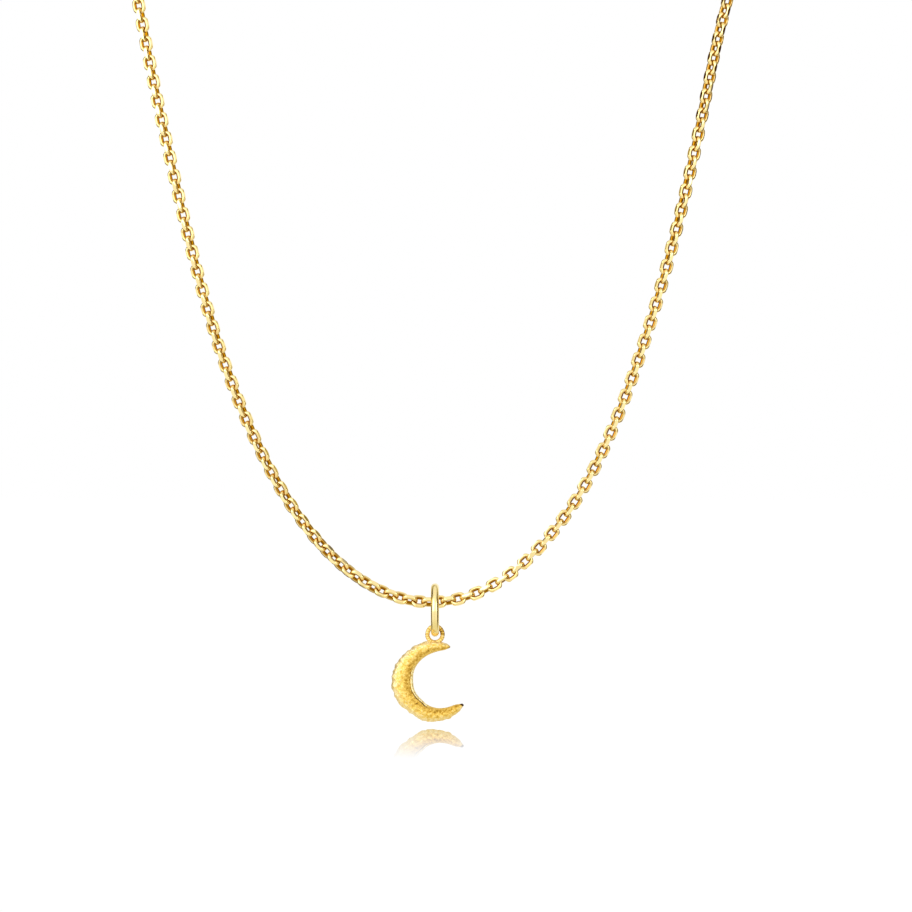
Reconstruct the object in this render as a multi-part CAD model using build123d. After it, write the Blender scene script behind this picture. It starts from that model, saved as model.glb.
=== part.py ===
from build123d import *
import os
from math import cos, pi, radians, sin, tan

# A moon necklace: a diamond-cut anchor chain, a round-wire bail ring that hangs on it, and a rough cast
# crescent whose small ear hangs on the ring. All lengths are in millimetres. +Z is up, the front faces
# -Y, and the origin is the middle of the neck at the height of the chain's line round the back.

# Chain links: ovals of wire, with a flat cut along the outer side of each long side
link_length = 2.20
link_width = 1.70
link_wire = 0.38
link_gap = 0.08
link_end_sides = 4
wire_sides = 5
links_each_side = 67
middle_link_right = 0.50

# The hidden stretch of the chain, and its gap to the links and to the clasp
tube_diameter = link_width
joint_gap = 0.12

# Bail ring
ring_diameter = 7.0
ring_wire = 1.08
ring_seat_gap = 0.42

# Ear on the crescent
ear_hole = 1.70
ear_wire = 0.50
ear_seat_gap = 0.10

# Crescent, drawn about the centre of its outer edge, with the ear's foot sunk into that edge
moon_radius = 5.45
moon_thickness = 1.90
moon_left_of_ear = 0.13
ear_foot_depth = 0.62
moon_relief_height = 0.13
moon_lump_width = 1.30
smooth_rim_share = 0.30
moon_stations = 40
moon_sides = 18

# Clasp: one plain bolt ring with a thumb nub and an eye on each side
clasp_diameter = 6.0
clasp_wire = 1.20
clasp_nub = 0.90
clasp_nub_height = 0.80
eye_diameter = 2.60
eye_wire = 0.50
eye_bite = 0.25
nape_depth = 50.0

# Sizes that follow
end_half_turn = pi / link_end_sides / 2
wire_radius = link_wire / (1 + cos(pi / wire_sides))
wire_flat = wire_radius * cos(pi / wire_sides)
link_pitch = link_length - 2 * link_wire / cos(end_half_turn) - link_gap
ring_line = (ring_diameter - ring_wire) / 2
ear_line = (ear_hole + ear_wire) / 2
eye_line = (eye_diameter - eye_wire) / 2
clasp_line = (clasp_diameter - clasp_wire) / 2
eye_x = clasp_diameter / 2 + eye_diameter / 2 - eye_bite

# The chain's line from the clasp's left eye round the neck's left side, down the front, and back up the
# right side to the clasp's right eye: x, y, z
route = (
    (-eye_x, nape_depth, 0.0),
    (-19.0, 47.9, 0.0),
    (-36.0, 38.0, 0.0),
    (-47.0, 22.5, 0.0),
    (-51.0, 4.0, -0.5),
    (-50.0, -14.0, -3.5),
    (-45.0, -27.4, -13.5),
    (-40.4, -33.2, -26.5),
    (-37.9, -33.2, -40.2),
    (-35.4, -33.2, -51.7),
    (-32.4, -33.2, -64.7),
    (-28.5, -33.2, -78.7),
    (-23.0, -33.2, -92.2),
    (-17.2, -33.2, -101.6),
    (-11.0, -33.2, -107.9),
    (-4.0, -33.2, -111.3),
    (3.2, -33.2, -111.2),
    (9.6, -33.2, -108.2),
    (15.2, -33.2, -102.8),
    (20.4, -33.2, -95.4),
    (25.0, -33.2, -85.2),
    (29.2, -33.2, -72.7),
    (32.6, -33.2, -60.2),
    (35.4, -33.2, -47.7),
    (37.6, -33.2, -36.2),
    (40.6, -33.2, -25.0),
    (45.0, -27.4, -12.5),
    (50.0, -14.0, -3.5),
    (51.0, 4.0, -0.5),
    (47.0, 22.5, 0.0),
    (36.0, 38.0, 0.0),
    (19.0, 47.9, 0.0),
    (eye_x, nape_depth, 0.0),
)
arc_share = 0.45

# How far the chain is turned about its own line: share of the front stretch from its left end, and
# degrees, where 0 shows the middle link and every second one from it flat to the front
twist_rows = (
    (0.00, -72),
    (0.20, -70),
    (0.30, -65),
    (0.38, -54),
    (0.44, -45),
    (0.50, -32),
    (0.54, -18),
    (0.58, 0),
    (0.63, 8),
    (0.75, 12),
    (0.80, 15),
    (0.86, 20),
    (0.91, 25),
    (0.97, 33),
    (1.00, 37),
)

# Crescent, from the upper horn round the left to the lower horn: angle from +X in degrees, inner and
# outer edge as shares of moon_radius, and depth as a share of moon_thickness
moon_rows = (
    (64.5, 0.900, 0.930, 0.16),
    (70.0, 0.815, 0.965, 0.45),
    (82.0, 0.735, 0.980, 0.72),
    (102.0, 0.655, 0.990, 0.88),
    (126.0, 0.595, 0.985, 0.96),
    (150.0, 0.550, 1.005, 1.00),
    (180.0, 0.510, 1.040, 1.00),
    (210.0, 0.525, 1.020, 1.00),
    (238.0, 0.545, 0.975, 0.97),
    (252.0, 0.590, 1.005, 0.93),
    (274.0, 0.655, 0.990, 0.86),
    (296.0, 0.715, 0.985, 0.74),
    (312.0, 0.775, 0.955, 0.54),
    (321.5, 0.880, 0.935, 0.20),
)


def blend_rows(rows, key):
    """The values of a table at a key, on a smooth curve through its rows"""
    last = len(rows) - 1
    i = min(max(k for k in range(last + 1) if k == 0 or rows[k][0] <= key), last - 1)
    low, high = rows[i], rows[i + 1]
    before, after = rows[max(i - 1, 0)], rows[min(i + 2, last)]
    span = high[0] - low[0]
    t = (key - low[0]) / span
    values = []
    for a, b, c, d in zip(before[1:], low[1:], high[1:], after[1:]):
        slope_low = (c - a) / (high[0] - before[0]) * span
        slope_high = (d - b) / (after[0] - low[0]) * span
        bend = slope_low * (t - 2 * t**2 + t**3) + slope_high * (t**3 - t**2)
        values.append(b + (c - b) * (3 * t**2 - 2 * t**3) + bend)
    return values


def route_radii(points):
    """The radius of the arc at each corner, as large as its two runs allow"""
    radii = []
    for before, corner, after in zip(points, points[1:], points[2:]):
        run_in = Vector(*corner) - Vector(*before)
        run_out = Vector(*after) - Vector(*corner)
        turn = radians(run_in.get_angle(run_out))
        radii.append(arc_share * min(run_in.length, run_out.length) / tan(turn / 2))
    return radii


def length_to_middle(line):
    """The length along the line to where it crosses the middle plane at the front"""
    low, high = line.length * 0.25, line.length * 0.75
    while high - low > 0.001:
        half = (low + high) / 2
        if line.position_at(half, PositionMode.LENGTH).X < 0:
            low = half
        else:
            high = half
    return (low + high) / 2


def polyhedron(faces):
    """A solid from lists of corners, one list for each flat face"""
    sides = [Face(Wire.make_polygon([Vector(*p) for p in corners])) for corners in faces]
    return Solid(Shell(sides))


def make_link():
    """One oval link flat in the XY plane, its length along X, with one side of its wire facing outwards"""
    half_width = link_width / 2 - wire_flat
    half_length = link_length / 2 - wire_flat / cos(end_half_turn)
    corners = []
    for end in (1, -1):
        for step in range(link_end_sides + 1):
            angle = pi * step / link_end_sides - pi / 2
            x = half_length - half_width + half_width * cos(angle)
            corners.append(Vector(end * x, end * half_width * sin(angle), 0))
    rings = []
    for i, corner in enumerate(corners):
        run_in = (corner - corners[i - 1]).normalized()
        run_out = (corners[(i + 1) % len(corners)] - corner).normalized()
        out_in = Vector(run_in.Y, -run_in.X, 0)
        out_out = Vector(run_out.Y, -run_out.X, 0)
        mitre = (out_in + out_out) * (1 / (1 + out_in.dot(out_out)))
        ring = []
        for side in range(wire_sides):
            angle = 2 * pi * (side + 0.5) / wire_sides
            ring.append(corner + mitre * (wire_radius * cos(angle)) + Vector(0, 0, wire_radius * sin(angle)))
        rings.append(ring)
    faces = []
    for i, ring in enumerate(rings):
        after = rings[(i + 1) % len(rings)]
        for j in range(wire_sides):
            k = (j + 1) % wire_sides
            faces.append((ring[j], after[j], after[k], ring[k]))
    return polyhedron(faces)


def make_chain_front(line, middle):
    """The links of the front stretch about the middle link, each at right angles to the one before it"""
    link = make_link()
    links = []
    for number in range(-links_each_side, links_each_side + 1):
        distance = middle + number * link_pitch
        ahead = line.tangent_at(distance, PositionMode.LENGTH)
        across = Vector(0, 1, 0).cross(ahead).normalized()
        share = (number + links_each_side) / (2 * links_each_side)
        turn = blend_rows(twist_rows, share)[0] + 90 * (number % 2)
        facing = ahead.cross(across).rotate(Axis((0, 0, 0), ahead), turn)
        place = Plane(line.position_at(distance, PositionMode.LENGTH), x_dir=ahead, z_dir=facing)
        links.append(link.moved(Location(place)))
    return Compound(links)


def make_tube(line, start, end):
    """A tube of the chain's width along the line, from one length to another"""
    path = line.trim(start / line.length, end / line.length)
    section = Plane(path @ 0, z_dir=path % 0) * Circle(tube_diameter / 2)
    tube = sweep(section, path=path)
    print(f"tube: section times length {pi * tube_diameter**2 / 4 * path.length:.1f}, volume {tube.volume:.1f}")
    return tube.solid()


def make_chain_back(line, middle):
    """The hidden stretch of the chain as two tubes, from the clasp's eyes to the front links"""
    front_reach = links_each_side * link_pitch + link_length / 2 + joint_gap
    eye_reach = eye_diameter / 2 + joint_gap
    left = make_tube(line, eye_reach, middle - front_reach)
    right = make_tube(line, middle + front_reach, line.length - eye_reach)
    return Compound([left, right])


def make_clasp():
    """A closed bolt ring at the nape, with a thumb nub on top and an eye for each end of the chain"""
    clasp = Plane.XZ * Torus(clasp_line, clasp_wire / 2)
    for side in (1, -1):
        clasp += Plane.XZ * Location((side * eye_x, 0, 0)) * Torus(eye_line, eye_wire / 2)
    nub_length = clasp_wire / 2 + clasp_nub_height
    nub = Cylinder(clasp_nub / 2, nub_length, align=(Align.CENTER, Align.CENTER, Align.MIN))
    clasp += Rot(Y=45) * Pos(Z=clasp_line) * nub
    return (Pos(Y=nape_depth) * clasp).solid()


def crumple(x, y, z):
    """The height of the rough skin at a point, from -1 to 1"""
    k = 2 * pi / moon_lump_width
    wide = sin(k * (0.8 * x + 0.3 * z) + 1.5 * sin(k * 0.5 * z))
    steep = sin(k * (0.7 * z - 0.6 * x) + 1.8 * sin(k * 0.6 * (x + y)))
    ridge = 1 - 2 * abs(sin(k * 0.5 * (x + 1.2 * z) + sin(k * 0.7 * y)))
    return (wide + steep + ridge) / 3


def roughness(out):
    """How much of the rough skin shows: none on the smooth rim along the inner edge, where out is -1"""
    share = min(max((1 + out) / smooth_rim_share, 0), 1)
    return share * share * (3 - 2 * share)


def moon_section(angle):
    """The corners of the crescent's section at an angle, around from its outer edge"""
    inner, outer, depth = blend_rows(moon_rows, angle)
    line_radius = moon_radius * (inner + outer) / 2
    half_width = moon_radius * (outer - inner) / 2
    half_depth = moon_thickness * depth / 2
    corners = []
    for side in range(moon_sides):
        around = 2 * pi * side / moon_sides
        out, front = cos(around), -sin(around)
        radius = line_radius + half_width * out
        x, y, z = radius * cos(radians(angle)), half_depth * front, radius * sin(radians(angle))
        lift = moon_relief_height * depth * roughness(out) * crumple(x, y, z)
        x += lift * out * cos(radians(angle))
        y += lift * front
        z += lift * out * sin(radians(angle))
        corners.append((x, y, z))
    return corners


def make_crescent():
    """The crescent about its own centre, in small flat facets that follow its rough skin"""
    first, last = moon_rows[0][0], moon_rows[-1][0]
    rings = [moon_section(first + (last - first) * i / moon_stations) for i in range(moon_stations + 1)]
    faces = []
    for ring, after in zip(rings, rings[1:]):
        for j in range(moon_sides):
            k = (j + 1) % moon_sides
            faces.append((ring[j], after[j], after[k]))
            faces.append((ring[j], after[k], ring[k]))
    for ring in (rings[0], rings[-1]):
        tip = tuple(sum(p[axis] for p in ring) / moon_sides for axis in range(3))
        for j in range(moon_sides):
            faces.append((tip, ring[j], ring[(j + 1) % moon_sides]))
    return polyhedron(faces)


def make_moon(ear_place):
    """The crescent with its ear, as one casting"""
    edge = moon_radius * blend_rows(moon_rows, 90)[1]
    below = edge + ear_hole / 2 + ear_wire - ear_foot_depth
    crescent = Pos(ear_place - Vector(moon_left_of_ear, 0, below)) * make_crescent()
    ear = Pos(ear_place) * (Plane.XZ * Torus(ear_line, ear_wire / 2))
    return (crescent + ear).solid()


radii = route_radii(route)
print("radii:", [round(r, 1) for r in radii])
chain_line = FilletPolyline(*route, radius=radii)
hang_length = length_to_middle(chain_line)
hang_point = chain_line.position_at(hang_length, PositionMode.LENGTH)
chain_middle = hang_length + middle_link_right
ring_place = hang_point - Vector(0, 0, ring_diameter / 2 - ring_wire - link_width / 2 - ring_seat_gap)
swing_place = ring_place - Vector(0, 0, ring_line)
ear_place = swing_place - Vector(0, 0, (ear_hole - ring_wire) / 2 - ear_seat_gap)

nodes = {
    "chain_front": make_chain_front(chain_line, chain_middle),
    "chain_back": make_chain_back(chain_line, chain_middle),
    "clasp": make_clasp(),
    "bail_ring": (Pos(ring_place) * (Plane.YZ * Torus(ring_line, ring_wire / 2))).solid(),
    "moon_pendant": make_moon(ear_place),
}

print(f"necklace: {chain_line.length + 2 * eye_x:.1f} round, link pitch {link_pitch:.4f}")
print("chain at the bail ring:", hang_point, " ring's lowest wire:", swing_place)

os.makedirs("parts", exist_ok=True)
for name, shape in nodes.items():
    export_step(shape, f"parts/{name}.step")
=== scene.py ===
import math
import bmesh
import bpy
from mathutils import Matrix, Vector, noise


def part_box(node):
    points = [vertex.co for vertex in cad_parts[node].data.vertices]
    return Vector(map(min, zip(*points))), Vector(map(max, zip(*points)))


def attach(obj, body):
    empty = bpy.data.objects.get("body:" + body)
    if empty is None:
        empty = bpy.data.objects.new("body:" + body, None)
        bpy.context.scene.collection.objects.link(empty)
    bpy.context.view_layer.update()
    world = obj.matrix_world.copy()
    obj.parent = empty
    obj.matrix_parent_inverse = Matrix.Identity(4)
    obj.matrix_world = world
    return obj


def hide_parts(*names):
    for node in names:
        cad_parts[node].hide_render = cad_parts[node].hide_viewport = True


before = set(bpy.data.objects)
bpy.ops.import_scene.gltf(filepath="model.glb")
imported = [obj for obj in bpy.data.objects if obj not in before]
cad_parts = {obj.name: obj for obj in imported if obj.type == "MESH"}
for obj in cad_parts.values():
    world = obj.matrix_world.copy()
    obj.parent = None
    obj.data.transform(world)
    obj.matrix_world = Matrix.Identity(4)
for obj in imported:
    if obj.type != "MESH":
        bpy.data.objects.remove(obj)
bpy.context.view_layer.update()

# A gold necklace: an anchor chain of flat-cut oval links, a round bail ring and a frosted crescent.
# Sizes are in millimetres and angles in degrees where nothing else is said. MM turns a size into metres,
# in which the scene is built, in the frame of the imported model.
MM = 0.001
QUARTER_TURN = math.pi / 2

# The chain's line, from the clasp's left eye down the front and back up to its right eye, and the steps that
# its curve is read in between two of these points
EYE_X = 4.05
NAPE_Y = 50.0
ROUTE = (
    (-EYE_X, NAPE_Y, 0.0),
    (-19.0, 47.9, 0.0),
    (-36.0, 38.0, 0.0),
    (-47.0, 22.5, 0.0),
    (-51.0, 4.0, -0.5),
    (-50.0, -14.0, -3.5),
    (-45.0, -27.4, -13.5),
    (-40.4, -33.2, -26.5),
    (-37.9, -33.2, -40.2),
    (-35.4, -33.2, -51.7),
    (-32.4, -33.2, -64.7),
    (-28.5, -33.2, -78.7),
    (-23.0, -33.2, -92.2),
    (-17.2, -33.2, -101.6),
    (-11.0, -33.2, -107.9),
    (-4.0, -33.2, -111.3),
    (3.2, -33.2, -111.2),
    (9.6, -33.2, -108.2),
    (15.2, -33.2, -102.8),
    (20.4, -33.2, -95.4),
    (25.0, -33.2, -85.2),
    (29.2, -33.2, -72.7),
    (32.6, -33.2, -60.2),
    (35.4, -33.2, -47.7),
    (37.6, -33.2, -36.2),
    (40.6, -33.2, -25.0),
    (45.0, -27.4, -12.5),
    (50.0, -14.0, -3.5),
    (51.0, 4.0, -0.5),
    (47.0, 22.5, 0.0),
    (36.0, 38.0, 0.0),
    (19.0, 47.9, 0.0),
    (EYE_X, NAPE_Y, 0.0),
)
LINE_STEPS = 48

# Chain link: its outside length, its width before and after its long sides are cut flat, the radius of its
# corners, its wire's width and depth in the middle of a side and of an end, and the angle from which an edge
# stays sharp
LINK_LENGTH = 2.21
LINK_WIDTH_UNCUT = 1.98
LINK_WIDTH = 1.70
LINK_CORNER = 0.67
LINK_SIDE_WIRE = 0.66
LINK_SIDE_DEPTH = 0.56
LINK_END_WIRE = 0.456
LINK_END_DEPTH = 0.64
CHAIN_SHARP_ANGLE = 32.0

# Places of the links: their spacing, how many hang on each side of the middle one, how far that one is to
# the right of the middle plane, and how far the last one on each side is from the clasp's eye
LINK_PITCH = 1.2975
LINKS_EACH_SIDE = 67
MIDDLE_LINK_RIGHT = 0.50
LAST_LINK_FROM_EYE = 1.47

# How unevenly the links hang: their largest tilt, with up to twice as much turn, the step from link to link
# and the row in the noise that both are read from, and its seed, which keeps it the same in each run
LINK_SWAY = 3.5
SWAY_STEP = 0.83
SWAY_ROW = 0.5
SWAY_SEED = 1

# Turn of the chain about its own line: share of the front stretch from its left end, and degrees, where
# 0 shows the middle link and every second one from it flat to the front
TWIST_ROWS = (
    (0.00, -72.0),
    (0.20, -70.0),
    (0.30, -65.0),
    (0.38, -54.0),
    (0.44, -45.0),
    (0.50, -32.0),
    (0.54, -18.0),
    (0.58, 0.0),
    (0.63, 8.0),
    (0.75, 12.0),
    (0.80, 15.0),
    (0.86, 20.0),
    (0.91, 25.0),
    (0.97, 33.0),
    (1.00, 37.0),
)

# Bail ring
RING_DIAMETER = 7.15
RING_WIRE = 1.08

# Ear: the width of its hole, its wire, how far its upper half is drawn out, where its foot stands on the
# crescent and how deep, the gap over the bail ring's wire, and the shading and rim values that set its even
# tone
EAR_HOLE = 1.44
EAR_WIRE = 0.58
EAR_TALL = 1.12
EAR_ANGLE = 90.0
EAR_FOOT_DEPTH = 0.49
EAR_SEAT_GAP = 0.05
EAR_RELIEF_SHADING = 0.07
EAR_RIM = 0.2

# Crescent: the radius that its rows are shares of, its greatest depth, and how far it hangs left of the ear
MOON_RADIUS = 5.45
MOON_THICKNESS = 1.90
MOON_LEFT_OF_EAR = 0.13

# Crescent from the upper horn round the left to the lower horn: angle from +X in degrees, inner and outer
# edge as shares of MOON_RADIUS, and depth as a share of MOON_THICKNESS
MOON_ROWS = (
    (64.5, 0.900, 0.930, 0.16),
    (70.0, 0.815, 0.965, 0.45),
    (82.0, 0.735, 0.980, 0.72),
    (102.0, 0.655, 0.990, 0.88),
    (126.0, 0.595, 0.985, 0.96),
    (150.0, 0.550, 1.005, 1.00),
    (180.0, 0.510, 1.040, 1.00),
    (210.0, 0.525, 1.020, 1.00),
    (238.0, 0.545, 0.975, 0.97),
    (252.0, 0.590, 1.005, 0.93),
    (274.0, 0.655, 0.990, 0.86),
    (296.0, 0.715, 0.985, 0.74),
    (312.0, 0.775, 0.955, 0.54),
    (321.5, 0.880, 0.935, 0.20),
)

# Crescent's skin. A place across the crescent runs from -1 at its inner edge to 1 at its outer edge. The
# lumps have a height and a width, a strength on the face and at the outer edge, and a strip along the inner
# edge where they rise from nothing. The fine features have heights, and scales in features a millimetre
MOON_RELIEF = 0.13
MOON_LUMP_WIDTH = 1.30
FACE_LUMPS = 0.40
EDGE_LUMPS = 1.05
SMOOTH_STRIP = 0.30
CREASE_HEIGHT = 0.032
CREASE_SCALE = 2.1
STREAK_HEIGHT = 0.036
FOLD_HEIGHT = 0.018
FOLD_SCALE = 3.8
GRAIN_HEIGHT = 0.005
GRAIN_SCALE = 9.0
WARP_SCALE = 1.5
WARP_SHIFT = (7, 3, 1)

# Polished bead and groove along the inner edge: the angles where both begin and end, the bead's height,
# place across and width, its share where it is most worn, the noise that wears it, the places where its
# polish ends, and the groove's depth, place, width, its share at first, and the angles where it deepens
RIM_STARTS = (132.0, 158.0)
RIM_ENDS = (246.0, 268.0)
BEAD_HEIGHT = 0.10
BEAD_PLACE = -0.89
BEAD_WIDTH = 0.07
WORN_BEAD = 0.35
WEAR_SCALE = 0.22
WEAR_RANGE = (-0.35, 0.15)
POLISH_ENDS = (-0.84, -0.70)
GROOVE_DEPTH = 0.09
GROOVE_PLACE = -0.74
GROOVE_WIDTH = 0.045
SHALLOW_GROOVE = 0.45
GROOVE_DEEPENS = (190.0, 215.0)

# Values that the crescent's tone is read from, added to the relief of its fine skin: painted shade in the
# groove and in a hollow beside it, painted light at the outer edge, a little brown on the lower part, and
# dark at the horns
GROOVE_SHADE = 0.12
GROOVE_SHADE_WIDTH = 0.06
HOLLOW_SHADE = 0.045
HOLLOW_PLACE = -0.42
HOLLOW_WIDTH = 0.28
EDGE_LIGHT = 0.060
EDGE_RANGE = (0.1, 0.9)
LOWER_SHADE = 0.018
LOWER_RANGE = (240.0, 275.0)
LOWER_TIP_SHADE = 0.4
LOWER_TIP_RANGE = (318.0, 320.0)
UPPER_TIP_SHADE = 0.08
UPPER_TIP_RANGE = (65.5, 69.0)

# Clasp: a bolt ring, thinner on the arc where the bolt closes it, with a thumb nub and an eye on each side
CLASP_DIAMETER = 6.0
CLASP_WIRE = 1.20
CLASP_BOLT = 0.84
CLASP_BOLT_ARC = (62.0, 92.0)
CLASP_SHARP_ANGLE = 40.0
NUB_WIDTH = 0.90
NUB_HEIGHT = 0.80
NUB_ANGLE = 45.0
EYE_DIAMETER = 2.60
EYE_WIRE = 0.50

# Rounded top of the thumb nub: share of its radius, and how far below its top that is
NUB_ROWS = (
    (1.00, 0.18),
    (0.93, 0.07),
    (0.75, 0.02),
    (0.45, 0.00),
)

# How finely each piece is drawn: corners along its line and round its wire, or round the upright nub
FRONT_LINK_CORNERS = (44, 16)
BACK_LINK_CORNERS = (24, 12)
RING_CORNERS = (144, 40)
EAR_CORNERS = (96, 32)
CLASP_CORNERS = (240, 32)
EYE_CORNERS = (96, 24)
NUB_CORNERS = 40
MOON_CORNERS = (300, 144)

# Chain and ring gold: the size of its clouds in clouds a metre, the range of their values, the gloss they
# give as shares of the roughness, the share that is left on a cut flat, how far round the wire the painted
# shade of the crooks comes in, how much of that deeper colour the clouds bring as patina, and the colour of
# a cut flat, painted paler as a highlight
CLOUD_SCALE = 700.0
CLOUD_RANGE = (0.3, 0.7)
CLOUD_GLOSS = (0.7, 1.4)
CUT_GLOSS = 0.18
CROOK_SHADE_RANGE = (0.36, 0.84)
PATINA_RANGE = (0.35, 0.75)
PATINA_SHARE = 0.25
CUT_HIGHLIGHT_COLOUR = (0.99, 0.81, 0.40, 1)

# Fine scratches on that gold, with their depth in metres
SCRATCH_SCALE = 2600.0
SCRATCH_STRETCH = (1.0, 9.0, 1.6)
SCRATCH_TURN = (0.5, 0.3, 0.9)
SCRATCH_STRENGTH = 0.2
SCRATCH_DEPTH = 0.000004

# Frosted gold: the range of relief and painted shading values that its tones run over, its speckles and
# their share in the tones, and the satin grain's scale, strength on the skin and on the rim, and depth in
# metres
RELIEF_SHADING_RANGE = (-0.080, 0.060)
SPECKLE_SCALE = 3600.0
SPECKLE_RANGE = (0.36, 0.62)
SPECKLE_SHARE = 0.30
FROST_ROUGHNESS = (0.72, 0.56)
RIM_ROUGHNESS = 0.48
RIM_SHEEN_COLOUR = (1.0, 0.87, 0.50, 1)
SATIN_SCALE = 12000.0
SATIN_STRENGTH = (0.3, 0.03)
SATIN_DEPTH = 0.00001

# Tones of the frosted gold: place from deepest to highest, and colour. The deep browns are painted shade in
# creases, the groove and the hollow, and the pale tones painted light on ridges and the outer edge
FROST_TONES = (
    (0.00, (0.10, 0.06, 0.03, 1)),
    (0.12, (0.54, 0.31, 0.03, 1)),
    (0.50, (0.87, 0.63, 0.16, 1)),
    (0.95, (0.98, 0.84, 0.52, 1)),
)

# White studio tent: its tone by how far a direction points back, from -1 at the camera to 1 behind the
# necklace, with a dark seam at the sides. The seam is set askew by TENT_SKEW of the direction's +X, and the
# overhead tone comes in between two heights of the direction
STUDIO_TONES = (
    (-1.00, 0.96),
    (-0.92, 1.00),
    (-0.80, 1.06),
    (-0.65, 1.12),
    (-0.42, 1.12),
    (-0.22, 0.88),
    (-0.12, 0.06),
    (0.38, 0.06),
    (0.50, 0.42),
    (0.72, 0.60),
    (0.86, 1.05),
    (1.00, 1.05),
)
TENT_SKEW = 0.20
OVERHEAD_TONE = 1.00
OVERHEAD_RANGE = (0.62, 0.85)

# Floor, in metres from the pendant's foot: how far it reaches, where the tone that it throws on the metal
# turns into the tent's, and where its gloss fades. Then its brightness in the picture and on the metal, and
# its gloss by the grazing angle
FLOOR_REACH = 3.0
FLOOR_BLEND = (0.008, 0.028)
GLOSS_FADE = (0.004, 0.066)
FLOOR_WHITE = 1.02
FLOOR_BOUNCE = 0.88
FLOOR_ROUGHNESS = 0.01
FLOOR_IOR = 1.5
GRAZING_RANGE = (0.35, 0.72)

# Soft lights: name, place and size in metres, and power in watts
LIGHTS = (
    ("key", (-0.55, -0.65, 0.10), 0.90, 4.4),
    ("fill", (0.60, -0.70, 0.10), 0.50, 1.2),
)

# Where the bail ring hangs on the chain, in the front plane
FRONT_Y = -33.2
CHAIN_LOW_Z = -111.244

# The photograph's frame in pixels, with its scale in the front plane. The camera's distance and the nearest
# thing it sees are in metres
PHOTO_SIZE = 912
PIXELS_PER_MM = 7.5
PHOTO_CHAIN_LOW = (435, 602)
PHOTO_FLOOR_Y = 725.5
CAMERA_DISTANCE = 0.60
CAMERA_NEAR = 0.01
SENSOR_WIDTH = 36.0


def blend_rows(rows, key):
    """The values of a table at a key, on a smooth curve through its rows"""
    last = len(rows) - 1
    i = min(max(k for k in range(last + 1) if k == 0 or rows[k][0] <= key), last - 1)
    low, high = rows[i], rows[i + 1]
    before, after = rows[max(i - 1, 0)], rows[min(i + 2, last)]
    span = high[0] - low[0]
    t = (key - low[0]) / span
    values = []
    for a, b, c, d in zip(before[1:], low[1:], high[1:], after[1:]):
        slope_low = (c - a) / (high[0] - before[0]) * span
        slope_high = (d - b) / (after[0] - low[0]) * span
        bend = slope_low * (t - 2 * t**2 + t**3) + slope_high * (t**3 - t**2)
        values.append(b + (c - b) * (3 * t**2 - 2 * t**3) + bend)
    return values


def ease(value, low, high):
    """0 below low, 1 above high, and a smooth rise between them"""
    share = min(max((value - low) / (high - low), 0.0), 1.0)
    return share * share * (3 - 2 * share)


def bell(value, middle, width):
    """1 at the middle, falling away smoothly on both sides"""
    return math.exp(-(((value - middle) / width) ** 2))


def new_object(name, vertices, faces):
    """A mesh object in the scene, with smooth faces"""
    mesh = bpy.data.meshes.new(name)
    mesh.from_pydata([tuple(v) for v in vertices], [], faces)
    mesh.validate()
    mesh.shade_smooth()
    piece = bpy.data.objects.new(name, mesh)
    bpy.context.scene.collection.objects.link(piece)
    return piece


def keep_values(piece, name, values):
    """Stores one number for each corner of a piece, for its material to read"""
    kept = piece.data.attributes.new(name, "FLOAT", "POINT")
    kept.data.foreach_set("value", values)


def fix_normals(piece):
    """Turns all faces outwards"""
    mesh = bmesh.new()
    mesh.from_mesh(piece.data)
    bmesh.ops.recalc_face_normals(mesh, faces=mesh.faces)
    mesh.to_mesh(piece.data)
    mesh.free()


def apply_modifiers(piece):
    """Turns a piece's modifiers into its mesh"""
    graph = bpy.context.evaluated_depsgraph_get()
    mesh = bpy.data.meshes.new_from_object(piece.evaluated_get(graph))
    piece.modifiers.clear()
    old = piece.data
    piece.data = mesh
    bpy.data.meshes.remove(old)


def join_solid(piece, other):
    """Fuses another mesh into a piece and removes the other"""
    modifier = piece.modifiers.new("fuse", "BOOLEAN")
    modifier.operation = "UNION"
    modifier.solver = "EXACT"
    modifier.object = other
    apply_modifiers(piece)
    old = other.data
    bpy.data.objects.remove(other)
    bpy.data.meshes.remove(old)


def tube_faces(steps, sides, closed=False):
    """Faces between rows of corners that go round a tube"""
    faces = []
    for i in range(steps if closed else steps - 1):
        after = (i + 1) % steps
        for j in range(sides):
            k = (j + 1) % sides
            faces.append((i * sides + j, i * sides + k, after * sides + k, after * sides + j))
    return faces


def tube_ends(steps, sides):
    """The two faces that close a tube's ends"""
    first_end = tuple(range(sides))[::-1]
    last_end = tuple((steps - 1) * sides + j for j in range(sides))
    return [first_end, last_end]


def ring_mesh(outside, wire, steps, sides, tall=1.0):
    """Corners and faces of a ring in the XZ plane about the origin, from its outside diameter and its wire,
    with its upper half drawn out where it is tall"""
    line_radius = (outside - wire) / 2 * MM
    wire_radius = wire / 2 * MM
    vertices = []
    for i in range(steps):
        around = 2 * math.pi * i / steps
        across, up = math.cos(around), math.sin(around)
        stretch = tall if up > 0 else 1.0
        middle = Vector((across, 0, up * stretch)) * line_radius
        out = Vector((across, 0, up / stretch)).normalized()
        for j in range(sides):
            angle = 2 * math.pi * j / sides
            level = Vector((0, wire_radius * math.sin(angle), 0))
            vertices.append(middle + out * (wire_radius * math.cos(angle)) + level)
    return vertices, tube_faces(steps, sides, closed=True)


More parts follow.
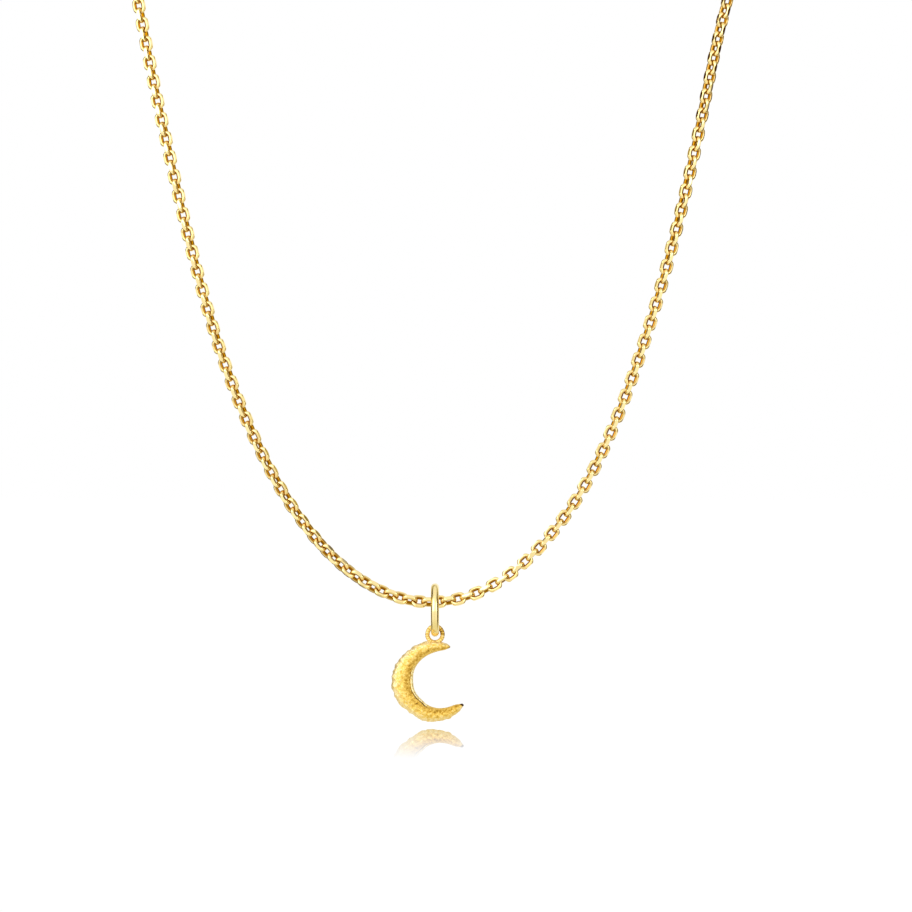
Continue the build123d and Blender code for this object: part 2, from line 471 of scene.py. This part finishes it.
class Line:
    """The chain's smooth line, with a frame that doesn't twist as it goes along"""

    def __init__(self):
        curve = bpy.data.curves.new("route", "CURVE")
        curve.dimensions = "3D"
        spline = curve.splines.new("NURBS")
        spline.points.add(len(ROUTE) - 1)
        for point, place in zip(spline.points, ROUTE):
            point.co = (*(c * MM for c in place), 1.0)
        spline.order_u = 3
        spline.use_endpoint_u = True
        spline.resolution_u = LINE_STEPS
        holder = bpy.data.objects.new("route", curve)
        bpy.context.scene.collection.objects.link(holder)
        mesh = bpy.data.meshes.new_from_object(holder)
        self.points = [v.co.copy() for v in mesh.vertices]
        bpy.data.objects.remove(holder)
        bpy.data.curves.remove(curve)
        bpy.data.meshes.remove(mesh)
        self.lengths = [0.0]
        for before, after in zip(self.points, self.points[1:]):
            self.lengths.append(self.lengths[-1] + (after - before).length)
        self.length = self.lengths[-1]
        self.middle = self.length_to_front() + MIDDLE_LINK_RIGHT * MM
        self.carry_frame()

    def length_to_front(self):
        """The length at which the line crosses the middle plane at the front"""
        for i, (before, after) in enumerate(zip(self.points, self.points[1:])):
            if before.x < 0 <= after.x and before.y < 0:
                share = -before.x / (after.x - before.x)
                return self.lengths[i] + share * (self.lengths[i + 1] - self.lengths[i])
        return self.length / 2

    def carry_frame(self):
        """At each point, the direction across the line that lies in the front plane at the middle link"""
        start = next(i for i, length in enumerate(self.lengths) if length >= self.middle)
        count = len(self.points)
        self.ahead = []
        for i in range(count):
            before, after = self.points[max(i - 1, 0)], self.points[min(i + 1, count - 1)]
            self.ahead.append((after - before).normalized())
        self.across = [None] * count
        self.across[start] = Vector((0, 1, 0)).cross(self.ahead[start]).normalized()
        for step in (1, -1):
            i = start
            while 0 <= i + step < count:
                turn = self.ahead[i].rotation_difference(self.ahead[i + step])
                self.across[i + step] = turn @ self.across[i]
                i += step

    def at(self, length):
        """Place, direction ahead and direction across at a length along the line"""
        low, high = 0, len(self.lengths) - 1
        while high - low > 1:
            half = (low + high) // 2
            if self.lengths[half] <= length:
                low = half
            else:
                high = half
        share = (length - self.lengths[low]) / (self.lengths[high] - self.lengths[low])
        place = self.points[low].lerp(self.points[high], share)
        ahead = self.ahead[low].lerp(self.ahead[high], share).normalized()
        across = self.across[low].lerp(self.across[high], share)
        across = (across - ahead * across.dot(ahead)).normalized()
        return place, ahead, across


def link_line(stations):
    """Points of a link's middle line, each with its place and the direction outwards: four quarters between
    the middle of an end and the middle of a side, with a round corner in each"""
    half_length = (LINK_LENGTH - LINK_END_WIRE) / 2
    half_width = (LINK_WIDTH_UNCUT - LINK_SIDE_WIRE) / 2
    run = half_length - LINK_CORNER
    rise = half_width - LINK_CORNER
    bend = QUARTER_TURN * LINK_CORNER
    quarter = rise + bend + run
    for i in range(stations):
        walked = 4 * quarter * (i + 0.5) / stations
        part = int(walked / quarter)
        walked -= part * quarter
        if part % 2:
            walked = quarter - walked
        if walked < rise:
            x, y, angle = half_length, walked, 0.0
        elif walked < rise + bend:
            angle = (walked - rise) / LINK_CORNER
            x, y = run + LINK_CORNER * math.cos(angle), rise + LINK_CORNER * math.sin(angle)
        else:
            x, y, angle = run - (walked - rise - bend), half_width, QUARTER_TURN
        flip_x = -1 if part in (1, 2) else 1
        flip_y = -1 if part in (2, 3) else 1
        yield flip_x * x, flip_y * y, flip_x * math.cos(angle), flip_y * math.sin(angle)


def link_mesh(stations, sides):
    """Corners and faces of one link flat in the XY plane, its length along X, its long sides cut flat, with
    how far each corner lies towards the link's inside and whether it is on a cut"""
    flat = LINK_WIDTH / 2
    vertices, inner, cut = [], [], []
    for x, y, out_x, out_y in link_line(stations):
        wire = LINK_END_WIRE + (LINK_SIDE_WIRE - LINK_END_WIRE) * out_y**2
        deep = LINK_END_DEPTH + (LINK_SIDE_DEPTH - LINK_END_DEPTH) * out_y**2
        for j in range(sides):
            around = 2 * math.pi * (j + 0.5) / sides
            lift = wire / 2 * math.cos(around)
            corner = [x + out_x * lift, y + out_y * lift, deep / 2 * math.sin(around)]
            cut.append(1.0 if abs(corner[1]) > flat else 0.0)
            inner.append((1 - math.cos(around)) / 2)
            corner[1] = min(max(corner[1], -flat), flat)
            vertices.append(Vector(corner) * MM)
    return vertices, tube_faces(stations, sides, closed=True), inner, cut


def twist_at(line, length):
    """The chain's turn about its line in radians"""
    reach = LINKS_EACH_SIDE * LINK_PITCH * MM
    share = min(max((length - line.middle + reach) / (2 * reach), 0.0), 1.0)
    return math.radians(blend_rows(TWIST_ROWS, share)[0])


def front_places(line):
    """Length along the line and turn of each front link, every second one turned a quarter"""
    places = []
    for number in range(-LINKS_EACH_SIDE, LINKS_EACH_SIDE + 1):
        length = line.middle + number * LINK_PITCH * MM
        places.append((length, twist_at(line, length) + QUARTER_TURN * (number % 2)))
    return places


def hidden_places(line, sign):
    """Length along the line and turn of each hidden link on one side. They are spread evenly up to the
    clasp, and share the extra turn that lays the last one level in the clasp's upright eye"""
    start = line.middle + sign * LINKS_EACH_SIDE * LINK_PITCH * MM
    end = LAST_LINK_FROM_EYE * MM if sign < 0 else line.length - LAST_LINK_FROM_EYE * MM
    count = math.ceil(abs(end - start) / (LINK_PITCH * MM))
    first_turn = twist_at(line, start) + QUARTER_TURN * (LINKS_EACH_SIDE % 2)
    last_turn = first_turn + QUARTER_TURN * count
    _, ahead, across = line.at(end)
    level = Vector((0, 0, 1)).cross(ahead).normalized()
    wanted = math.atan2(across.cross(level).dot(ahead), across.dot(level))
    extra = (wanted - last_turn + QUARTER_TURN) % math.pi - QUARTER_TURN
    places = []
    for step in range(1, count + 1):
        share = step / count
        turn = first_turn + QUARTER_TURN * step + extra * share
        places.append((start + (end - start) * share, turn))
    return places


def chain_piece(name, line, places, stations, sides):
    """A piece of chain, with a link at each length along the line, each one hanging a little unevenly"""
    corners, corner_faces, inner, cut = link_mesh(stations, sides)
    vertices, faces = [], []
    sway = math.radians(LINK_SWAY)
    for number, (length, turn) in enumerate(places):
        place, ahead, across = line.at(length)
        uneven = noise.noise_vector(Vector((number * SWAY_STEP, SWAY_ROW, 0.0)))
        side = Matrix.Rotation(turn + 2 * sway * uneven.x, 3, ahead) @ across
        up = ahead.cross(side)
        tilt = Matrix.Rotation(sway * uneven.y, 3, up)
        ahead, side = tilt @ ahead, tilt @ side
        base = len(vertices)
        vertices.extend(place + ahead * c.x + side * c.y + up * c.z for c in corners)
        faces.extend(tuple(base + corner for corner in face) for face in corner_faces)
    piece = new_object(name, vertices, faces)
    keep_values(piece, "inner", inner * len(places))
    keep_values(piece, "cut", cut * len(places))
    piece.data.set_sharp_from_angle(angle=math.radians(CHAIN_SHARP_ANGLE))
    return piece


def make_chain():
    """The front links and the hidden links, as two pieces"""
    noise.seed_set(SWAY_SEED)
    line = Line()
    front = front_places(line)
    hidden = hidden_places(line, -1) + hidden_places(line, 1)
    front_piece = chain_piece("chain_front_links", line, front, *FRONT_LINK_CORNERS)
    back_piece = chain_piece("chain_back_links", line, hidden, *BACK_LINK_CORNERS)
    return front_piece, back_piece


def make_ring():
    """The bail ring, a plain round wire closed without a seam, which stands in the YZ plane"""
    low, high = (Vector(c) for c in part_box("bail_ring"))
    centre = (low + high) / 2
    centre.z = low.z + RING_DIAMETER / 2 * MM
    corners, faces = ring_mesh(RING_DIAMETER, RING_WIRE, *RING_CORNERS)
    turned_corners = [centre + Vector((c.y, c.x, c.z)) for c in corners]
    turned_faces = [face[::-1] for face in faces]
    return new_object("bail_ring_wire", turned_corners, turned_faces)


def crumple(x, y, z):
    """The height of the rough skin's lumps at a point in millimetres, from -1 to 1"""
    k = 2 * math.pi / MOON_LUMP_WIDTH
    wide = math.sin(k * (0.8 * x + 0.3 * z) + 1.5 * math.sin(k * 0.5 * z))
    steep = math.sin(k * (0.7 * z - 0.6 * x) + 1.8 * math.sin(k * 0.6 * (x + y)))
    ridge = 1 - 2 * abs(math.sin(k * 0.5 * (x + 1.2 * z) + math.sin(k * 0.7 * y)))
    return (wide + steep + ridge) / 3


def fine_skin(x, y, z):
    """The height of the skin's small creases, slanted streaks, folds and grains in millimetres, all bent out
    of line by the same slow warp"""
    place = Vector((x, y, z))
    slow = place * WARP_SCALE
    warp = Vector((noise.noise(slow), noise.noise(slow + Vector(WARP_SHIFT)), 0))
    near = noise.voronoi(place * CREASE_SCALE + warp * 0.9)[0]
    creases = min((near[1] - near[0]) * 2.0, 1.0) - 0.7
    slant = Vector((x * 2.8 - z * 1.3, y * 2.2, z * 1.7 + x * 0.6))
    streaks = noise.noise(slant + warp * 0.8)
    folds = 0.5 - abs(noise.noise(place * FOLD_SCALE + warp)) * 2
    grain = noise.noise(place * GRAIN_SCALE)
    return CREASE_HEIGHT * creases + STREAK_HEIGHT * streaks + FOLD_HEIGHT * folds + GRAIN_HEIGHT * grain


def moon_rim(angle, out):
    """The height of the bead and groove at a place across the crescent, the groove's share of its full
    depth, and the rim's polish"""
    along = ease(angle, *RIM_STARTS) * (1 - ease(angle, *RIM_ENDS))
    wear = noise.noise(Vector((angle * WEAR_SCALE, out * 2, 3)))
    worn = WORN_BEAD + (1 - WORN_BEAD) * ease(wear, *WEAR_RANGE)
    carved = along * (SHALLOW_GROOVE + (1 - SHALLOW_GROOVE) * ease(angle, *GROOVE_DEEPENS))
    bead = BEAD_HEIGHT * worn * along * bell(out, BEAD_PLACE, BEAD_WIDTH)
    groove = GROOVE_DEPTH * carved * bell(out, GROOVE_PLACE, GROOVE_WIDTH)
    polish = along * worn * (1 - ease(out, *POLISH_ENDS))
    return bead - groove, carved, polish


def moon_relief_shading(angle, out, small, carved):
    """The crescent's tone value: its fine skin's relief, painted shade in the groove by its share and in a
    hollow, painted light at the outer edge, and darker on the lower part and horns
    """
    relief_shading = small - GROOVE_SHADE * carved * bell(out, GROOVE_PLACE, GROOVE_SHADE_WIDTH)
    relief_shading -= HOLLOW_SHADE * bell(out, HOLLOW_PLACE, HOLLOW_WIDTH)
    relief_shading += EDGE_LIGHT * ease(out, *EDGE_RANGE)
    relief_shading -= LOWER_SHADE * ease(angle, *LOWER_RANGE)
    relief_shading -= LOWER_TIP_SHADE * ease(angle, *LOWER_TIP_RANGE)
    relief_shading -= UPPER_TIP_SHADE * (1 - ease(angle, *UPPER_TIP_RANGE))
    return relief_shading


def moon_point(angle, side):
    """A corner of the crescent about its own centre in millimetres, with its tone value of relief and
    painted shading, and its polish
    """
    inner, outer, depth = blend_rows(MOON_ROWS, angle)
    line_radius = MOON_RADIUS * (inner + outer) / 2
    half_width = MOON_RADIUS * (outer - inner) / 2
    half_depth = MOON_THICKNESS * depth / 2
    around = 2 * math.pi * side / MOON_CORNERS[1]
    out, front = math.cos(around), -math.sin(around)
    turn = math.radians(angle)
    radius = line_radius + half_width * out
    x, y, z = radius * math.cos(turn), half_depth * front, radius * math.sin(turn)
    rough = ease(out, -1.0, -1.0 + SMOOTH_STRIP)
    small = fine_skin(x, y, z)
    lumps = FACE_LUMPS + (EDGE_LUMPS - FACE_LUMPS) * max(out, 0.0) ** 2
    lift = depth * rough * (lumps * MOON_RELIEF * crumple(x, y, z) + small)
    bead, carved, polish = moon_rim(angle, out)
    x += lift * out * math.cos(turn)
    y += lift * front + bead * max(min(front * 4, 1.0), -1.0)
    z += lift * out * math.sin(turn)
    return Vector((x, y, z)), moon_relief_shading(angle, out, rough * small, carved), polish


def make_crescent(centre):
    """The crescent without its ear, closed at both horns"""
    first, last = MOON_ROWS[0][0], MOON_ROWS[-1][0]
    stations, sides = MOON_CORNERS
    vertices, relief_shadings, polishes = [], [], []
    for i in range(stations + 1):
        angle = first + (last - first) * i / stations
        for side in range(sides):
            place, relief_shading, polish = moon_point(angle, side)
            vertices.append(centre + place * MM)
            relief_shadings.append(relief_shading)
            polishes.append(polish)
    faces = tube_faces(stations + 1, sides) + tube_ends(stations + 1, sides)
    crescent = new_object("moon_crescent", vertices, faces)
    keep_values(crescent, "relief_shading", relief_shadings)
    keep_values(crescent, "rim", polishes)
    fix_normals(crescent)
    return crescent


def make_moon():
    """The frosted crescent with its ear, fused into one piece. The ear hangs on the bail ring's wire"""
    low, high = (Vector(c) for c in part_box("bail_ring"))
    ear = Vector(((low.x + high.x) / 2, (low.y + high.y) / 2, low.z + RING_WIRE / 2 * MM))
    ear_radius = (EAR_HOLE + EAR_WIRE) / 2
    ear.z -= (ear_radius * EAR_TALL - EAR_WIRE / 2 - RING_WIRE / 2 - EAR_SEAT_GAP) * MM
    edge = MOON_RADIUS * blend_rows(MOON_ROWS, EAR_ANGLE)[1]
    below = edge + EAR_HOLE / 2 + EAR_WIRE - EAR_FOOT_DEPTH
    crescent = make_crescent(ear - Vector((MOON_LEFT_OF_EAR, 0, below)) * MM)
    corners, faces = ring_mesh(EAR_HOLE + 2 * EAR_WIRE, EAR_WIRE, *EAR_CORNERS, tall=EAR_TALL)
    ear_ring = new_object("moon_ear", [ear + c for c in corners], faces)
    keep_values(ear_ring, "relief_shading", [EAR_RELIEF_SHADING] * len(corners))
    keep_values(ear_ring, "rim", [EAR_RIM] * len(corners))
    fix_normals(ear_ring)
    join_solid(crescent, ear_ring)
    crescent.data.shade_smooth()
    return crescent


def nub_mesh(sides):
    """Corners and faces of the clasp's thumb nub, upright on the origin, with a rounded top"""
    top = CLASP_WIRE / 2 + NUB_HEIGHT
    rows = [(1.0, 0.0)] + [(share, top - below) for share, below in NUB_ROWS]
    vertices = []
    for share, height in rows:
        for j in range(sides):
            angle = 2 * math.pi * j / sides
            radius = share * NUB_WIDTH / 2
            vertices.append(Vector((radius * math.cos(angle), radius * math.sin(angle), height)) * MM)
    return vertices, tube_faces(len(rows), sides) + tube_ends(len(rows), sides)


def thin_bolt(corners):
    """Draws the clasp ring's wire thinner where the bolt closes it"""
    steps, sides = CLASP_CORNERS
    line_radius = (CLASP_DIAMETER - CLASP_WIRE) / 2 * MM
    for i in range(steps):
        around = 360 * i / steps
        if CLASP_BOLT_ARC[0] < around < CLASP_BOLT_ARC[1]:
            turn = math.radians(around)
            middle = Vector((math.cos(turn), 0, math.sin(turn))) * line_radius
            for k in range(i * sides, (i + 1) * sides):
                corners[k] = middle + (corners[k] - middle) * (CLASP_BOLT / CLASP_WIRE)


def make_clasp():
    """The bolt ring at the nape with its thumb nub and an eye on each side, fused into one piece"""
    low, high = (Vector(c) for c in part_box("clasp"))
    centre = Vector(((low.x + high.x) / 2, (low.y + high.y) / 2, 0))
    corners, faces = ring_mesh(CLASP_DIAMETER, CLASP_WIRE, *CLASP_CORNERS)
    thin_bolt(corners)
    clasp = new_object("clasp_ring", [centre + c for c in corners], faces)
    fix_normals(clasp)
    for side in (1, -1):
        corners, faces = ring_mesh(EYE_DIAMETER, EYE_WIRE, *EYE_CORNERS)
        eye_centre = centre + Vector((side * EYE_X * MM, 0, 0))
        eye = new_object("clasp_eye", [eye_centre + c for c in corners], faces)
        fix_normals(eye)
        join_solid(clasp, eye)
    corners, faces = nub_mesh(NUB_CORNERS)
    foot = Vector((0, 0, (CLASP_DIAMETER - CLASP_WIRE) / 2 * MM))
    lean = Matrix.Rotation(math.radians(NUB_ANGLE), 3, "Y")
    nub = new_object("clasp_nub", [centre + lean @ (c + foot) for c in corners], faces)
    fix_normals(nub)
    join_solid(clasp, nub)
    clasp.data.shade_smooth()
    clasp.data.set_sharp_from_angle(angle=math.radians(CLASP_SHARP_ANGLE))
    return clasp


def new_node(tree, kind, **settings):
    """A node with some of its inputs or properties set"""
    node = tree.nodes.new(kind)
    for name, value in settings.items():
        if name in node.inputs:
            node.inputs[name].default_value = value
        else:
            setattr(node, name, value)
    return node


def remap(tree, value, source, target=(0.0, 1.0), **settings):
    """A number moved from its source range into a target range"""
    node = new_node(tree, "ShaderNodeMapRange", **settings)
    for name, limit in zip(("From Min", "From Max", "To Min", "To Max"), (*source, *target)):
        node.inputs[name].default_value = limit
    tree.links.new(value, node.inputs["Value"])
    return node.outputs["Result"]


def mixed(tree, kind, share, first, second):
    """Two numbers or colours mixed, the first one where the share is 0 and the second where it is 1"""
    node = new_node(tree, "ShaderNodeMix", data_type=kind)
    for name, value in (("Factor", share), ("A", first), ("B", second)):
        if isinstance(value, bpy.types.NodeSocket):
            tree.links.new(value, node.inputs[name])
        else:
            node.inputs[name].default_value = value
    return node.outputs["Result"]


def combined(tree, operation, first, second):
    """Two numbers put together"""
    node = new_node(tree, "ShaderNodeMath", operation=operation)
    tree.links.new(first, node.inputs[0])
    tree.links.new(second, node.inputs[1])
    return node.outputs["Value"]


def ramp(tree, value, rows):
    """Colours along a number, from rows of place and colour"""
    node = new_node(tree, "ShaderNodeValToRGB")
    elements = node.color_ramp.elements
    for element, (place, colour) in zip(elements, (rows[0], rows[-1])):
        element.position = place
        element.color = colour
    for place, colour in rows[1:-1]:
        elements.new(place).color = colour
    tree.links.new(value, node.inputs["Fac"])
    return node.outputs["Color"]


def noise_at(tree, place, **settings):
    """Soft noise, as numbers about a half"""
    node = new_node(tree, "ShaderNodeTexNoise", **settings)
    tree.links.new(place, node.inputs["Vector"])
    return node.outputs["Fac"]


def object_place(tree):
    """A point's place on its own object"""
    return new_node(tree, "ShaderNodeTexCoord").outputs["Object"]


def kept_values(tree, name):
    """The numbers that keep_values stored on a piece"""
    return new_node(tree, "ShaderNodeAttribute", attribute_name=name).outputs["Fac"]


def new_metal(name):
    """A new metal material and its shader"""
    material = bpy.data.materials.new(name)
    material.use_nodes = True
    shader = material.node_tree.nodes["Principled BSDF"]
    shader.inputs["Metallic"].default_value = 1.0
    return material, shader


def polished(name, colour, shade_and_patina_colour, roughness):
    """Polished gold: smoother on cut flats, which are painted paler as a highlight, with painted shade in
    the crooks and a deeper patina colour in faint clouds, uneven gloss and fine scratches"""
    material, shader = new_metal(name)
    tree = material.node_tree
    place = object_place(tree)
    cut = kept_values(tree, "cut")
    clouds = noise_at(tree, place, Scale=CLOUD_SCALE, Detail=5.0, Roughness=0.6)
    cloud_gloss = [share * roughness for share in CLOUD_GLOSS]
    gloss = remap(tree, clouds, CLOUD_RANGE, cloud_gloss)
    kept_gloss = remap(tree, cut, (0.0, 1.0), (1.0, CUT_GLOSS))
    surface = combined(tree, "MULTIPLY", gloss, kept_gloss)
    tree.links.new(surface, shader.inputs["Roughness"])
    # Painted shade: a darker, browner colour on the inner side of each link's wire, where the crooks lie in
    # shade
    crook_shade = remap(tree, kept_values(tree, "inner"), CROOK_SHADE_RANGE, interpolation_type="SMOOTHSTEP")
    patina = remap(tree, clouds, PATINA_RANGE, (0.0, PATINA_SHARE))
    # The share of the deeper colour: painted shade in the crooks or patina in the clouds, whichever is more
    deep = combined(tree, "MAXIMUM", crook_shade, patina)
    tint = mixed(tree, "RGBA", deep, (*colour, 1), (*shade_and_patina_colour, 1))
    # Painted highlight: cut flats take a paler colour than the rest of the link
    tree.links.new(mixed(tree, "RGBA", cut, tint, CUT_HIGHLIGHT_COLOUR), shader.inputs["Base Color"])
    stretch = new_node(tree, "ShaderNodeMapping", Scale=SCRATCH_STRETCH, Rotation=SCRATCH_TURN)
    tree.links.new(place, stretch.inputs["Vector"])
    scratches = noise_at(tree, stretch.outputs["Vector"], Scale=SCRATCH_SCALE, Detail=3.0)
    bump = new_node(tree, "ShaderNodeBump", Strength=SCRATCH_STRENGTH, Distance=SCRATCH_DEPTH)
    tree.links.new(scratches, bump.inputs["Height"])
    tree.links.new(bump.outputs["Normal"], shader.inputs["Normal"])
    return material


def frosted(name):
    """Matte gold casting: ridges painted pale as light and creases painted brown as shade, a satin grain,
    and a smoother inner rim painted paler as a sheen
    """
    material, shader = new_metal(name)
    tree = material.node_tree
    place = object_place(tree)
    rim = kept_values(tree, "rim")
    clouds = noise_at(tree, place, Scale=SPECKLE_SCALE, Detail=5.0, Roughness=0.65)
    speckle = remap(tree, clouds, SPECKLE_RANGE)
    # Painted light and shade: the relief and shading value picks the tone, brown where it is low and pale
    # where it is high
    height = remap(tree, kept_values(tree, "relief_shading"), RELIEF_SHADING_RANGE, clamp=False)
    tone = mixed(tree, "FLOAT", SPECKLE_SHARE, height, speckle)
    # Painted sheen: the polished rim takes a paler colour than the frosted skin
    colour = mixed(tree, "RGBA", rim, ramp(tree, tone, FROST_TONES), RIM_SHEEN_COLOUR)
    tree.links.new(colour, shader.inputs["Base Color"])
    gloss = remap(tree, tone, (0.0, 1.0), FROST_ROUGHNESS)
    tree.links.new(mixed(tree, "FLOAT", rim, gloss, RIM_ROUGHNESS), shader.inputs["Roughness"])
    grain = noise_at(tree, place, Scale=SATIN_SCALE, Detail=3.0, Roughness=0.6)
    bump = new_node(tree, "ShaderNodeBump", Distance=SATIN_DEPTH)
    tree.links.new(remap(tree, rim, (0.0, 1.0), SATIN_STRENGTH), bump.inputs["Strength"])
    tree.links.new(grain, bump.inputs["Height"])
    tree.links.new(bump.outputs["Normal"], shader.inputs["Normal"])
    return material


def warm(level):
    """A tone of the tent's cloth, white where it is lit fully and browner in its shade"""
    shade = min(level, 1.0)
    return (level, level * shade**0.3, level * shade**2, 1)


def studio_tones(tree, direction):
    """The tent's tone in a direction, bright in front and behind with a dark seam at the sides"""
    askew = new_node(tree, "ShaderNodeVectorMath", operation="DOT_PRODUCT")
    askew.inputs[1].default_value = (TENT_SKEW, 1.0, 0.0)
    tree.links.new(direction, askew.inputs[0])
    across = remap(tree, askew.outputs["Value"], (-1.0, 1.0))
    return ramp(tree, across, [((y + 1) / 2, warm(level)) for y, level in STUDIO_TONES])


def floor_paper(tree, place, reach):
    """The floor's own light: plain white in the picture, and on the metal a tone that turns into the tent's
    away from the pendant"""
    outward = new_node(tree, "ShaderNodeVectorMath", operation="NORMALIZE")
    tree.links.new(place, outward.inputs[0])
    tones = studio_tones(tree, outward.outputs["Vector"])
    far = remap(tree, reach, FLOOR_BLEND, interpolation_type="SMOOTHSTEP")
    bounce = mixed(tree, "RGBA", far, warm(FLOOR_BOUNCE), tones)
    seen = new_node(tree, "ShaderNodeLightPath").outputs["Is Camera Ray"]
    white = (FLOOR_WHITE, FLOOR_WHITE, FLOOR_WHITE, 1)
    paper = new_node(tree, "ShaderNodeEmission")
    tree.links.new(mixed(tree, "RGBA", seen, bounce, white), paper.inputs["Color"])
    return paper.outputs["Emission"]


def make_floor(height):
    """A wide white floor, glossy only round the pendant's foot"""
    size = FLOOR_REACH
    corners = [(-size, -size, 0), (size, -size, 0), (size, size, 0), (-size, size, 0)]
    floor = new_object("floor", corners, [(0, 1, 2, 3)])
    floor.location = (0, FRONT_Y * MM, height)
    material = bpy.data.materials.new("pale floor")
    material.use_nodes = True
    tree = material.node_tree
    tree.nodes.remove(tree.nodes["Principled BSDF"])
    place = object_place(tree)
    distance = new_node(tree, "ShaderNodeVectorMath", operation="LENGTH")
    tree.links.new(place, distance.inputs[0])
    reach = distance.outputs["Value"]
    paper = floor_paper(tree, place, reach)
    gloss = new_node(tree, "ShaderNodeBsdfGlossy", Roughness=FLOOR_ROUGHNESS, Color=(1, 1, 1, 1))
    fade = remap(tree, reach, GLOSS_FADE, (1.0, 0.0))
    fresnel = new_node(tree, "ShaderNodeFresnel", IOR=FLOOR_IOR)
    grazing = remap(tree, fresnel.outputs["Fac"], GRAZING_RANGE, interpolation_type="SMOOTHSTEP")
    surface = new_node(tree, "ShaderNodeMixShader")
    tree.links.new(combined(tree, "MULTIPLY", grazing, fade), surface.inputs["Fac"])
    tree.links.new(paper, surface.inputs[1])
    tree.links.new(gloss.outputs["BSDF"], surface.inputs[2])
    tree.links.new(surface.outputs["Shader"], tree.nodes["Material Output"].inputs["Surface"])
    floor.data.materials.append(material)


def make_world():
    """The studio tent round the necklace, which the picture shows as plain white"""
    world = bpy.data.worlds.new("studio")
    bpy.context.scene.world = world
    world.use_nodes = True
    tree = world.node_tree
    direction = new_node(tree, "ShaderNodeTexCoord").outputs["Generated"]
    split = new_node(tree, "ShaderNodeSeparateXYZ")
    tree.links.new(direction, split.inputs["Vector"])
    overhead = remap(
        tree, split.outputs["Z"], OVERHEAD_RANGE, (0.0, OVERHEAD_TONE), interpolation_type="SMOOTHSTEP"
    )
    tent = new_node(tree, "ShaderNodeVectorMath", operation="MAXIMUM")
    tree.links.new(studio_tones(tree, direction), tent.inputs[0])
    tree.links.new(overhead, tent.inputs[1])
    seen = new_node(tree, "ShaderNodeLightPath").outputs["Is Camera Ray"]
    shown = mixed(tree, "RGBA", seen, tent.outputs["Vector"], (1, 1, 1, 1))
    tree.links.new(shown, tree.nodes["Background"].inputs["Color"])
    tree.nodes["Background"].inputs["Strength"].default_value = 1.0


def area_light(name, place, target, size, power):
    """A square soft light that faces a point"""
    lamp = bpy.data.lights.new(name, "AREA")
    lamp.size = size
    lamp.energy = power
    holder = bpy.data.objects.new(name, lamp)
    holder.location = place
    holder.rotation_euler = (Vector(target) - Vector(place)).to_track_quat("-Z", "Y").to_euler()
    bpy.context.scene.collection.objects.link(holder)


def make_camera(low_point):
    """A level camera in front, at the height and distance that give the photograph's frame"""
    camera = bpy.data.cameras.new("camera")
    camera.sensor_width = SENSOR_WIDTH
    frame_width = PHOTO_SIZE / PIXELS_PER_MM * MM
    camera.lens = SENSOR_WIDTH * CAMERA_DISTANCE / frame_width
    camera.clip_start = CAMERA_NEAR
    holder = bpy.data.objects.new("camera", camera)
    right = (PHOTO_SIZE / 2 - PHOTO_CHAIN_LOW[0]) / PIXELS_PER_MM * MM
    up = (PHOTO_CHAIN_LOW[1] - PHOTO_SIZE / 2) / PIXELS_PER_MM * MM
    holder.location = (low_point.x + right, low_point.y - CAMERA_DISTANCE, low_point.z + up)
    holder.rotation_euler = (QUARTER_TURN, 0, 0)
    bpy.context.scene.collection.objects.link(holder)
    bpy.context.scene.camera = holder


# The cut gold's deeper colour is painted shade in the crooks and patina in the clouds; the polished gold's
# is patina only
CUT_GOLD = polished("cut gold", colour=(1.00, 0.80, 0.35), shade_and_patina_colour=(0.34, 0.14, 0.00), roughness=0.14)
POLISHED_GOLD = polished(
    "polished gold", colour=(0.97, 0.80, 0.38), shade_and_patina_colour=(0.94, 0.73, 0.28), roughness=0.20
)
FROSTED_GOLD = frosted("frosted gold")

front_links, back_links = make_chain()
for piece, node in ((front_links, "chain_front"), (back_links, "chain_back")):
    piece.data.materials.append(CUT_GOLD)
    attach(piece, "root")
    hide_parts(node)

ring = make_ring()
ring.data.materials.append(POLISHED_GOLD)
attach(ring, "bail")
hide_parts("bail_ring")

moon = make_moon()
moon.data.materials.clear()
moon.data.materials.append(FROSTED_GOLD)
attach(moon, "moon")
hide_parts("moon_pendant")

clasp = make_clasp()
clasp.data.materials.clear()
clasp.data.materials.append(POLISHED_GOLD)
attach(clasp, "root")
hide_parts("clasp")

low_point = Vector((0, FRONT_Y, CHAIN_LOW_Z)) * MM
make_camera(low_point)
make_floor(low_point.z - (PHOTO_FLOOR_Y - PHOTO_CHAIN_LOW[1]) / PIXELS_PER_MM * MM)
make_world()
for name, place, size, power in LIGHTS:
    area_light(name, place, low_point, size, power)
bpy.context.scene.view_settings.view_transform = "Standard"
